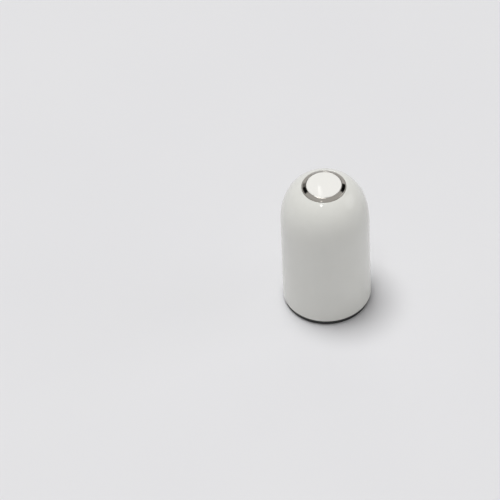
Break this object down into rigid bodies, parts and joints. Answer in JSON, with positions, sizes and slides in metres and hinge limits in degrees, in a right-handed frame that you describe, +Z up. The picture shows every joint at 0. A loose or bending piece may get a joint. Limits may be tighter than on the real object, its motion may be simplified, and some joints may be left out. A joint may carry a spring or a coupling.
{
  "type": "stylus cap",
  "caption": "Round bullet-shaped magnetic cap that slips over the charging plug of a slim stylus, gloss white with a polished metal ring round a white disc at its domed tip.",
  "frame": {"origin": "on the cap's axis, in the plane of the lip it stands on", "axes": "+Z up the cap's axis from the open mouth to the domed tip; +X and +Y across it, with a rib of the liner on +X"},
  "size_m": [0.0088, 0.0088, 0.0159],
  "materials": {
    "shell_white": "high gloss white moulding",
    "disc_white": "high gloss white moulding",
    "ring_steel": "mirror polished",
    "liner_white": "plain moulded",
    "collar_black": "fine matt black moulding",
    "magnet_nickel": "satin nickel plate"
  },
  "bodies": {
    "root": {"outer_shell": "shell_white", "tip_ring": "ring_steel", "tip_disc": "disc_white", "socket_liner": "liner_white", "lip_collar": "collar_black", "magnet_1": "magnet_nickel", "magnet_2": "magnet_nickel", "magnet_3": "magnet_nickel", "magnet_4": "magnet_nickel", "magnet_5": "magnet_nickel", "magnet_6": "magnet_nickel"}
  },
  "joints": []
}
